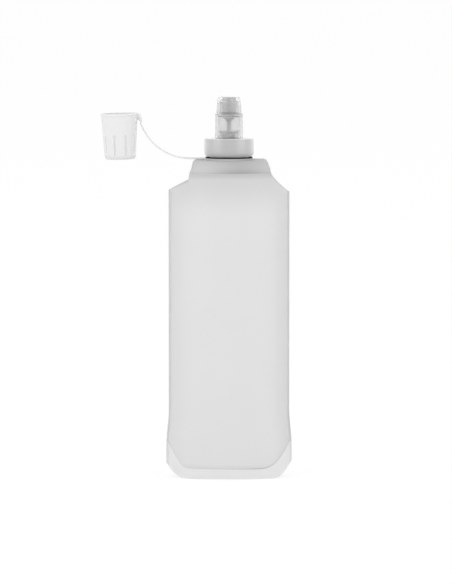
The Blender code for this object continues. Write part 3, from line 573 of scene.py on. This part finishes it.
def cup(corners, steps=360):
    """The spun cup with its flutes, then leaned: x and z turn about the axis and the cup's middle height."""
    outline = rounded(corners, 8)
    # More points along the straight wall, so that the flutes can start and end on it
    along = np.concatenate([[0], np.cumsum(np.linalg.norm(np.diff(outline, axis=0), axis=1))])
    fine = np.unique(np.concatenate([along, np.linspace(0, along[-1], 220)]))
    outline = np.stack([np.interp(fine, along, outline[:, k]) for k in (0, 1)], -1)
    points = spun(outline, steps, CAP_X)
    angle = np.arange(steps) * math.tau / steps
    z = outline[:, 1:] / MM - CAP_END
    off = (angle - FLUTE_PHASE + math.pi / FLUTES) % (math.tau / FLUTES) - math.pi / FLUTES
    across = np.exp(-((off / FLUTE_HALF_ANGLE) ** 4))
    run = eased((z - FLUTE_RUN[0]) / FLUTE_FADE) * eased((FLUTE_RUN[1] - z) / FLUTE_FADE)
    outer_wall = outline[:, :1] / MM > 9.6 + 0.061 * z  # a cone between the inner and the outer wall
    dent = FLUTE_DEPTH * MM * across * run * outer_wall
    out = unit(points[..., :2] - np.array((CAP_X, 0)) + 1e-12)
    points[..., :2] -= out * dent[..., None]
    x, z = points[..., 0] - CAP_X, points[..., 2] - CAP_MIDDLE
    points[..., 0] = CAP_X + x * math.cos(CAP_LEAN) + z * math.sin(CAP_LEAN)
    points[..., 2] = CAP_MIDDLE - x * math.sin(CAP_LEAN) + z * math.cos(CAP_LEAN)
    return points, grid_faces(len(outline), steps, False, True)


piece("cap_cup", [cup([
    (0, CAP_END), (10.2, CAP_END, 1.6), (12.0, CAP_END + 28.4, 0.6), (12.4, CAP_END + 29.2, 0.4),
    (12.4, CAP_END + 30.4, 0.5), (10.8, CAP_END + 30.4, 0.3), (9.1, CAP_END + 1.2, 1.2), (0, CAP_END + 1.2)])],
    CAP_FINISH, ["dust_cap"], "cap")

# %% [markdown]
# The flask's film follows the same shape as in CAD, worked out on a much finer grid. A place on a panel is a share of
# the half width, from -1 to 1, and a height. The bulge in plan is a soft lens: half depth times (1 - across squared)
# to a power of 0.72, so it is rounded in the middle and steep at the welds. Cloth under pressure could find a bulge
# too, but a formula keeps the welds where the solid has them, and gives the same film each time.

# %% The flask's outline
BODY_HALF_WIDTH = 0.0400
PANEL_HEIGHT = 0.2028
SKIRT_FLARE = 0.0017
WELD_WIDTH = 0.0015
FOLD_SHARES = (0.648, 0.695)  # where the straight top and bottom edges end, on the left and the right
END_SHARE = 0.958  # where the gussets end, just short of the side welds
LAND_SIDE_SHARE = 0.712  # of the depth, where the flat land ends
FILM = 0.0005  # thickness
WELD_HALF_THICKNESS = 0.00075  # from the middle plane to the outer face, where both panels are welded
MIDDLE_GAP = 0.00002  # that the inner faces keep from the middle plane
BELLY_HALF_DEPTH = 0.0235
BASE_LOSS, TOP_LOSS = 0.0040, 0.0020  # of it, at the bag's two ends
BELLY_LOW, BELLY_HIGH = 0.060, 0.120  # between them the bag is as deep as it gets
SEAM_HEIGHT = 0.0071


def half_width(z):
    """Straight sides that spread softly at the skirt."""
    return BODY_HALF_WIDTH + SKIRT_FLARE * eased((0.046 - z) / 0.026)


def half_depth(z):
    """Fullest in the middle, and less by a square law towards both ends."""
    low = np.clip((BELLY_LOW - z) / BELLY_LOW, 0, 1)
    high = np.clip((z - BELLY_HIGH) / (PANEL_HEIGHT - BELLY_HIGH), 0, 1)
    return BELLY_HALF_DEPTH - BASE_LOSS * low**2 - TOP_LOSS * high**2


def by_side(share, left, right):
    """One value where the share is negative and another where it is positive."""
    return np.where(share < 0, left, right)


def past_fold(share):
    """From 0 at the end of a straight edge to 1 at the side."""
    fold = by_side(share, *FOLD_SHARES)
    return np.clip((np.abs(share) - fold) / (1 - fold), 0, 1)


def top_edge(share):
    """Level, then over the shoulders: a short drop and a slope on the left, one hollow curve on the right."""
    past = past_fold(share)
    return PANEL_HEIGHT - by_side(share, 0.0055 * eased(past / 0.10) + 0.0060 * past, 0.0128 * past**0.62)


def bottom_edge(share):
    """A slight bow off the ground in the middle, then up round the corners by a power."""
    past = past_fold(share)
    return 0.0006 * np.clip(1 - (share / 0.6) ** 2, 0, 1) + by_side(share, 0.0098 * past**2.5, 0.0112 * past**2.1)


def u_seam(share):
    """The U weld: level in the middle, then a soft bend into a straight rise on the left, and a power on the right."""
    x = np.abs(share) * (BODY_HALF_WIDTH + SKIRT_FLARE)
    past = x - 0.0306
    left = 1.647 * (past + np.sqrt(past**2 + 0.0015**2)) / 2
    right = 0.0171 * np.clip((x - 0.0200) / 0.0200, 0, 1) ** 2.5
    return SEAM_HEIGHT + by_side(share, left, right)


print(f"the bag is {half_width(0.1) * 2:.3f} m wide and {half_depth(0.1) * 2:.3f} m deep at a height of 0.1 m")

# %% [markdown]
# Real film is never perfectly smooth. It pulls in along the welds, steps down at the U weld to the flat skirt, rounds
# off towards the top edge, and puckers a little beside the side welds. Each of these is one term of a relief in
# metres, added outwards, that fades with the distance from its weld. Sculpting could do it by hand, but terms can be
# changed one by one until they match.

# %% Relief and film surfaces


def relief(share, z, side):
    """Step and line at the U weld, the top edge's rounding, the side weld's line, puckers beside it, waves, and the
    skirt's gathers, each a height times its fading; then the distances from the U weld and from the side."""
    width = half_width(z)
    from_side = (1 - np.abs(share)) * width
    slope = (u_seam(share + 0.001) - u_seam(share - 0.001)) / (0.002 * width)
    over_seam = (z - u_seam(share)) / np.sqrt(1 + slope**2)
    under_edge = (top_edge(share) - z) / (1 + 0.2 * (past_fold(share) > 0))
    x = share * width
    puckers = np.sin(z / 0.0023 + 1.7 * np.sin(z / 0.0060 + side) + np.sign(share) * 1.3 + side)
    waves = (np.sin(x / 0.0115 + 2.0 * np.sin(z / 0.034 + side)) * np.sin(z / 0.0190 + 0.8 * side)
             + 0.7 * np.sin(x / 0.019 - z / 0.027 + side))
    return (-0.00070 * (1 - eased(over_seam / 0.0035 + 0.12))
            - 0.00030 * np.exp(-((over_seam / 0.00045) ** 2))
            - 0.00030 * np.clip(1 - under_edge / 0.0025, 0, 1) ** 2
            - 0.00018 * np.exp(-(((from_side - WELD_WIDTH) / 0.0005) ** 2))
            + 0.00012 * puckers * np.exp(-(((from_side - WELD_WIDTH - 0.0045) / 0.0035) ** 2))
            + 0.00012 * waves * eased((from_side - 0.004) / 0.012) * eased(over_seam / 0.010)
            + 0.00010 * np.sin(x / 0.0042 + 1.5 * np.sin(x / 0.011)) * eased(-over_seam / 0.0012)
            * np.clip(1 - from_side / 0.05, 0.2, 1)), over_seam, from_side


def face(share, z, side=-1):
    """The outer face of the front (side -1) or back (side 1) panel, before its relief."""
    width = half_width(z)
    across = np.clip(np.abs(share) * width / (width - WELD_WIDTH), 0, 1)
    bulge = half_depth(z) * (1 - across**2) ** 0.72
    out = WELD_HALF_THICKNESS + bulge + relief(share, z, side)[0] * eased(bulge / 0.001)
    return np.stack([share * width, side * out, z], -1)


def outward(points, side):
    """Unit normals of a grid, on the given side."""
    normal = unit(np.cross(np.gradient(points, axis=1), np.gradient(points, axis=0)))
    return normal * np.sign(normal[..., 1:2] * side)


def both_ways(shares):
    """The same numbers below zero, then the numbers."""
    return np.concatenate([-shares[:0:-1], shares])


print("film surfaces ready")

# %% [markdown]
# Each panel is one sheet with a thin inner copy behind it. The grid is closer where the shape turns quickly, at the
# folds, the welds and the ends. The masks for the finish are worked out from the same distances as the relief, so the
# weld's pattern lies exactly on the weld.

# %% Panels
inner = 0.93 * np.sin(math.pi / 2 * np.linspace(0, 1, 58))
panel_shares = both_ways(np.unique(np.concatenate([inner, np.linspace(0.65, 0.73, 17), np.linspace(0.93, 1, 12)])))
panel_rows = np.unique(np.concatenate([np.linspace(0, 0.125, 62), np.linspace(0.125, 0.92, 84),
                                       np.linspace(0.92, 1, 26)]))[:, None]
share, row = np.broadcast_arrays(panel_shares, panel_rows)
z = bottom_edge(share) + (top_edge(share) - bottom_edge(share)) * row
for name, node, side in (("film_front", "front_panel", -1), ("film_back", "back_panel", 1)):
    outer = face(share, z, side)
    _, over_seam, from_side = relief(share, z, side)
    skirt = eased(-over_seam / 0.0006)
    weld = np.maximum(eased((WELD_WIDTH - from_side) / 0.0004), skirt)
    # Painted shadow: a dark line along the U weld, under the bulge's lip, strongest right of the middle
    seam_shadow = np.exp(-((over_seam / 0.0003) ** 2)) * (0.2 + 0.8 * np.exp(-(((share - 0.52) / 0.24) ** 2)))
    # Painted shade towards the side welds, stronger on the right
    painted_side_shade = eased((np.abs(share) - 0.66) / 0.30) * by_side(share, 0.62, 1.1)
    thickness = FILM + 0.00023 * eased((WELD_WIDTH - from_side) / 0.0004)  # it is thicker in the weld
    inside = outer - outward(outer, side) * thickness[..., None]
    inside[0, :, 2], inside[-1, :, 2] = outer[0, :, 2], outer[-1, :, 2]
    inside[..., 1] = side * np.maximum(side * inside[..., 1], MIDDLE_GAP)
    both = np.stack([outer, inside]) + (AXIS_X, 0, 0)
    made = piece(name, [(both, shell_faces(*share.shape))], FILM_FINISH, [node], "flask",
                 {"weld": np.stack([weld, weld]), "skirt": np.stack([skirt, skirt]),
                  "seam_shadow": np.stack([seam_shadow, seam_shadow]), "side": np.stack([painted_side_shade, painted_side_shade])})
    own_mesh(made)

# %% [markdown]
# A gusset is one sheet: up behind the front panel, over between the panels, and down behind the back one. The top one
# domes up to a flat land for the neck, with quarter-round sides, and the bottom one is a shallow arch. One function
# lays both between the panels' inner faces, so they follow the panels wherever these bulge or pucker.

# %% Gusset sheets
GUSSET_GAP = 0.00003  # between the gusset and the inner face of a panel


def gusset(shares, across, low, fold, rise):
    """One sheet as two matching grids: a strip up behind each panel, set in by the film's thickness, and a crossing
    that goes evenly from one strip's end to the other's, as high as the fold plus a rise."""
    up = np.linspace(0, 1, 12)[:, None]
    heights = low(shares) + (fold(shares) - low(shares)) * up
    wide = np.broadcast_to(shares, heights.shape)
    strips = [face(wide, heights, side) - outward(face(wide, heights, side), side) * (FILM + GUSSET_GAP)
              for side in (-1, 1)]
    v = both_ways(across)[1:-1, None]
    blend = (1 + v) / 2
    seam = strips[0][-1] * (1 - blend[..., None]) + strips[1][-1] * blend[..., None]
    depth = (strips[1][-1][:, 1] - strips[0][-1][:, 1]) / 2
    crossing = np.stack([seam[..., 0], v * depth, fold(shares) + rise(shares, v)], -1)
    outer = np.concatenate([strips[0], crossing, strips[1][::-1]])
    normal = unit(np.cross(np.gradient(outer, axis=1), np.gradient(outer, axis=0)))
    return np.stack([outer, outer - normal * FILM]) + (AXIS_X, 0, 0)


def dome_end(top, height, foot):
    """The dome's outline on one side, from the flat land over a rounded corner and down to the shoulder."""
    outline = rounded([(0, 8.3), (top, height, 3.0), (foot, 0.9, 1.2), (40, 0.3), (40, -1), (0, -1)], 12)
    return outline[outline[:, 1] > 0]


LAND_ENDS = dome_end(24.0, 8.3, 25.6), dome_end(25.0, 8.5, 28.2)


def land_rise(share, v):
    """A flat land whose ends follow the drawn outlines, rounded off steeply to the seams."""
    x = np.abs(share) * BODY_HALF_WIDTH
    along = by_side(share, *(np.interp(x, *outline.T) for outline in LAND_ENDS))
    past_side = np.clip((np.abs(v) - LAND_SIDE_SHARE) / (1 - LAND_SIDE_SHARE), 0, 1)
    return along * (1 - past_side**2) ** 0.6 * (1 + 0.05 * np.clip(share, -0.5, 0))


print(f"the land rises {land_rise(0.0, 0.0) * 1000:.1f} mm above the panels")

# %% [markdown]
# The top gusset has its closest grid where the land turns down to the shoulders. The neck's hole is cut by a Boolean,
# which is simpler than a grid that goes round it.

# %% Top and bottom gusset
HOLE_RADIUS = 13.3
quarter = np.sin(math.pi / 2 * np.linspace(0, 1, 18))
top_shares = both_ways(np.unique(np.concatenate([
    np.linspace(0, 0.5, 20), np.linspace(0.5, 0.74, 70), np.linspace(0.74, END_SHARE, 24)])))
top_across = np.unique(np.concatenate([np.linspace(0, LAND_SIDE_SHARE, 14),
                                       LAND_SIDE_SHARE + (1 - LAND_SIDE_SHARE) * quarter]))
sheet = gusset(top_shares, top_across, lambda s: top_edge(s) - 0.0030, top_edge, land_rise)
# Painted light: the top gusset is paler towards both ends, and darkest a little right of its middle
painted_side_light = eased(np.abs((sheet[..., 0] - AXIS_X) / BODY_HALF_WIDTH - 0.2) / 0.65)
top = piece("film_top", [(sheet, shell_faces(*sheet.shape[1:3]))], SHADED_GUSSET_FINISH, ["top_gusset"], "flask",
            {"side": painted_side_light})
hole = piece("hole_form", [turned([(0, LAND - 4), (HOLE_RADIUS, LAND - 4), (HOLE_RADIUS, LAND + 4), (0, LAND + 4)])],
             SHADED_GUSSET_FINISH)
cut = top.modifiers.new("neck hole", "BOOLEAN")
cut.operation, cut.solver, cut.object = "DIFFERENCE", "EXACT", hole
evaluated = top.evaluated_get(bpy.context.evaluated_depsgraph_get())
top.data = bpy.data.meshes.new_from_object(evaluated)
top.modifiers.clear()
bpy.data.objects.remove(hole)

base_shares = both_ways(END_SHARE * np.sin(math.pi / 2 * np.linspace(0, 1, 70)))
sheet = gusset(base_shares, np.linspace(0, 1, 24), lambda s: bottom_edge(s) + 0.0005, u_seam,
               lambda s, v: 0.0040 * (1 - v**2) + 0 * s)
base = piece("film_base", [(sheet, shell_faces(*sheet.shape[1:3]))], FILM_FINISH, ["bottom_gusset"],
             "flask")
for made in (top, base):
    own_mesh(made)

# %% [markdown]
# The tether ring lies in the narrow slit under the collar, and turns on the neck. Below it the thin rim of the neck's
# flange stands out of the film. Both are small turned rings, and level, so that one can turn over the other. The ring
# is coloured near-black as painted shade of the slit, and the rim is written darker than the neck as painted shade too.

# %% Flange rim and tether ring
piece("neck_flange", [turned([(13.6, LAND - 0.2, 0.1), (15.6, LAND - 0.2, 0.1), (15.6, LAND + 1.1, 0.3),
                              (13.6, LAND + 1.1, 0.1)], 160)], SHADED_FLANGE_FINISH, body="flask")
piece("tether_loop", [turned([(13.45, LAND + 1.25, 0.2), (15.8, LAND + 1.25, 0.25), (15.8, LAND + 1.8, 0.25),
                              (13.45, LAND + 1.8, 0.2)], 160)], SLIT_SHADE_FINISH,
      ["tether_ring"], "tether")

# %% [markdown]
# The strap is a thin moulded band that leaves the ring level, bends up and ends at the lug on the cap. Its middle
# line is written as straight runs and one arc, because its length is then a plain sum, the same as in CAD.

# %% The strap's line
BEND_X = 19.0 * MM  # from the axis to where the strap leaves the ring's tab
TETHER_Z = LAND * MM + 0.9 * MM
START, END, RADIUS = math.radians(4), math.radians(59), 26.2 * MM  # the arc's slopes and its radius
FIRST, ARC, LAST = 13.007 * MM, RADIUS * (END - START), 11.541 * MM
STRAP_LENGTH = FIRST + ARC + LAST
WAVE_OFFSET, WAVE_HEIGHT, WAVE_START, WAVE_LENGTH = 0.08, 0.45, 7, 37  # in millimetres
WAVE_FADE_IN, WAVE_FADE_OUT = 8 * MM, 3 * MM
STRAP_HALF_WIDTH, STRAP_HALF_THICKNESS = 1.8 * MM, 0.55 * MM
STRAP_STEP = 0.0004


def strap_line(length):
    """The strap's middle and heading: level in the tab, a straight run, an arc and a straight run up. A slow wave
    is added across it, a cosine of the length that fades at both ends."""
    run, bend = np.clip(length, 0, FIRST), np.clip(length - FIRST, 0, ARC) / RADIUS
    steep = np.maximum(length - FIRST - ARC, 0)
    heading = np.where(length < 0, 0, START + bend)
    out = (np.minimum(length, 0) + run * math.cos(START)
           + RADIUS * (np.sin(START + bend) - math.sin(START)) + steep * math.cos(END))
    up = (run * math.sin(START) + RADIUS * (math.cos(START) - np.cos(START + bend)) + steep * math.sin(END))
    wave = (WAVE_OFFSET + WAVE_HEIGHT * np.cos(math.tau * (length / MM - WAVE_START) / WAVE_LENGTH)) * MM
    wave = wave * eased(length / WAVE_FADE_IN) * eased((STRAP_LENGTH - length) / WAVE_FADE_OUT)
    out, up = out + wave * np.sin(heading), up - wave * np.cos(heading)
    return np.stack([AXIS_X - BEND_X - out, 0 * out, TETHER_Z + up], -1), heading


def strap_point(length):
    """One point of the strap's middle."""
    return tuple(strap_line(np.array(length))[0])


def band(middle, heading, half_width, half_thickness, sides=20):
    """A flat section with rounded edges, a superellipse, carried along a line in the plane of the strap."""
    turn = np.arange(sides) * math.tau / sides
    wide = np.outer(half_width, np.sign(np.cos(turn)) * np.abs(np.cos(turn)) ** 0.35)
    thick = np.outer(half_thickness, np.sign(np.sin(turn)) * np.abs(np.sin(turn)) ** 0.5)
    normal = np.stack([np.sin(heading), 0 * heading, np.cos(heading)], -1)
    points = middle[:, None] + normal[:, None] * thick[..., None] + np.array((0, 1, 0)) * wide[..., None]
    caps = np.arange(sides).reshape(2, -1)
    pairs = np.stack([caps[0][:-1], caps[0][1:], caps[1][::-1][1:], caps[1][::-1][:-1]], -1)
    ends = np.concatenate([pairs[:, ::-1], pairs + sides * (len(middle) - 1)])
    return points, np.concatenate([grid_faces(len(middle), sides, False, True), ends])


def strap(start, end):
    """A stretch of the strap, from one length along it to another."""
    length = np.linspace(start, end, max(int((end - start) / STRAP_STEP), 8))
    return band(*strap_line(length), np.full(length.shape, STRAP_HALF_WIDTH),
                np.full(length.shape, STRAP_HALF_THICKNESS))


print(f"the strap is {STRAP_LENGTH * 1000:.1f} mm long")

# %% [markdown]
# The real strap flexes all along, but the mechanism bends it at two hinges and lets it give by two slides. So it is cut
# into four stretches where both sides follow one body, one for each link from the ring to the cap.

# %% Strap
CUTS = [length * MM for length in (-3.1, 8.5, 34.0, 45.0)] + [STRAP_LENGTH]
LINKS = (("tether", "strap_lower"), ("strap_lower", "strap_upper"), ("strap_upper", "cap_hanger"),
         ("cap_hanger", "cap"))
STANDS_FOR = (["tether_strap_lower"], ["tether_strap_lower", "tether_strap_upper"], ["tether_strap_upper"],
              ["tether_strap_upper"])
for k, (link, nodes) in enumerate(zip(LINKS, STANDS_FOR)):
    made = piece(f"strap_{k + 1}", [strap(CUTS[k], CUTS[k + 1])], STRAP_FINISH, nodes)
    strap_point(CUTS[k] + 0.5 * MM)
    strap_point(CUTS[k + 1] - 0.5 * MM)
    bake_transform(made)

# %% [markdown]
# The lug is the strap's thick end, moulded on the cap's rim. It is the same band, which grows wider and thicker as it
# curls over to the cap, and its end is rounded off by a quarter ellipse.

# %% Lug
LUG_OUT, LUG_CURL = 58.2, 1.8  # in millimetres from the axis, and how much farther its end is
LUG_LOW, LUG_HEIGHT = 235.8, 6.0
t = np.linspace(0, 1, 40)
middle = np.stack([AXIS_X - (LUG_OUT + LUG_CURL * eased(t * 1.1)) * MM, 0 * t, (LUG_LOW + LUG_HEIGHT * t) * MM], -1)
heading = np.arctan2(np.gradient(middle[:, 2]), -np.gradient(middle[:, 0]))
end = np.sqrt(1 - np.clip((t - 0.72) / 0.3, 0, 1) ** 2)
piece("lug", [band(middle, heading, (1.8 + 0.5 * eased(t * 2)) * end * MM, (0.6 + 0.9 * eased(t * 2)) * end * MM)],
      STRAP_FINISH, ["cap_lug"], "cap")

# %% [markdown]
# The photograph is a cut-out on pure white. The floor is a wide sheet of white paper that keeps the flask's soft
# shadow, and what the camera sees of it directly, in gloss or through the clear parts is raised to white. A Light Path
# node tells these rays from those that light the object, whose colours stay as they are.

# %% Floor
FLOOR_SIDE, FLOOR_FRONT, FLOOR_BACK = 15, -15, 25
PAPER_LEVEL, GLOW_LEVEL = 0.90, 1.04
GLOW_SHARE = 0.8  # the rest is lit paper, which shows the shadow


def seen_rays(nodes):
    """1 for rays from the camera, in gloss or through clear parts, and 0 for all others: the largest of three."""
    direct, gloss, through = (nodes.node("ShaderNodeLightPath", output=name) for name in (
        "Is Camera Ray", "Is Glossy Ray", "Is Transmission Ray"))
    return direct.larger(gloss).larger(through)


floor_mesh = bpy.data.meshes.new("floor")
floor_mesh.from_pydata([(-FLOOR_SIDE, FLOOR_FRONT, 0), (FLOOR_SIDE, FLOOR_FRONT, 0), (FLOOR_SIDE, FLOOR_BACK, 0),
                        (-FLOOR_SIDE, FLOOR_BACK, 0)], [], [(0, 1, 2, 3)])
floor = bpy.data.objects.new("floor", floor_mesh)
bpy.context.scene.collection.objects.link(floor)

paper = Finish("white_paper", Roughness=0.9, Specular_IOR_Level=0)
paper.colour(grey(PAPER_LEVEL))
glow = paper.node("ShaderNodeEmission", None, {"Color": grey(1.0), "Strength": GLOW_LEVEL})
paper.feed(paper.tree.nodes["Material Output"].inputs["Surface"], paper.node(
    "ShaderNodeMixShader", None,
    {0: seen_rays(paper) * GLOW_SHARE, 1: Value(paper, paper.shader.outputs[0]), 2: glow}))
floor_mesh.materials.append(paper.material)
print("floor made")

# %% [markdown]
# The light is very soft. The world's colour lights the object at the level where a colour looks about as it is
# written. A large lamp on the left and a weaker one on the right give the sides their gradients. Two lamps and an even
# world are easier to balance against a photograph than a picture of a studio would be.

# %% World and lamps
WORLD_LEVEL, BACKGROUND_LEVEL = 0.86, 1.0
LAMP_SIZE, LAMP_AIM = 2.8, 0.13  # the aim is a height

world = bpy.data.worlds.new("studio")
bpy.context.scene.world = world
world.use_nodes = True
studio = Nodes(world.node_tree)
studio.tree.nodes.remove(studio.tree.nodes["Background"])
lighting, background = (studio.node("ShaderNodeBackground", None, {"Color": grey(1.0), "Strength": level})
                        for level in (WORLD_LEVEL, BACKGROUND_LEVEL))
studio.feed(studio.tree.nodes["World Output"].inputs["Surface"], studio.node(
    "ShaderNodeMixShader", None, {0: seen_rays(studio), 1: lighting, 2: background}))


def lamp(name, place, power):
    """A soft square lamp that looks at the middle of the flask."""
    made = bpy.data.objects.new(name, bpy.data.lights.new(name, "AREA"))
    made.data.size, made.data.energy = LAMP_SIZE, power
    made.location = place
    made.rotation_euler = (Vector((AXIS_X, 0, LAMP_AIM)) - made.location).to_track_quat("-Z", "Y").to_euler()
    bpy.context.scene.collection.objects.link(made)


lamp("key", (-3.0, -2.0, 1.5), 48)
lamp("fill", (3.0, -1.8, 1.3), 41)
bpy.context.scene.view_settings.view_transform = "Standard"
print("world and lamps made")

# %% [markdown]
# At the end the script says that the scene is built.

# %% End
print("scene built")
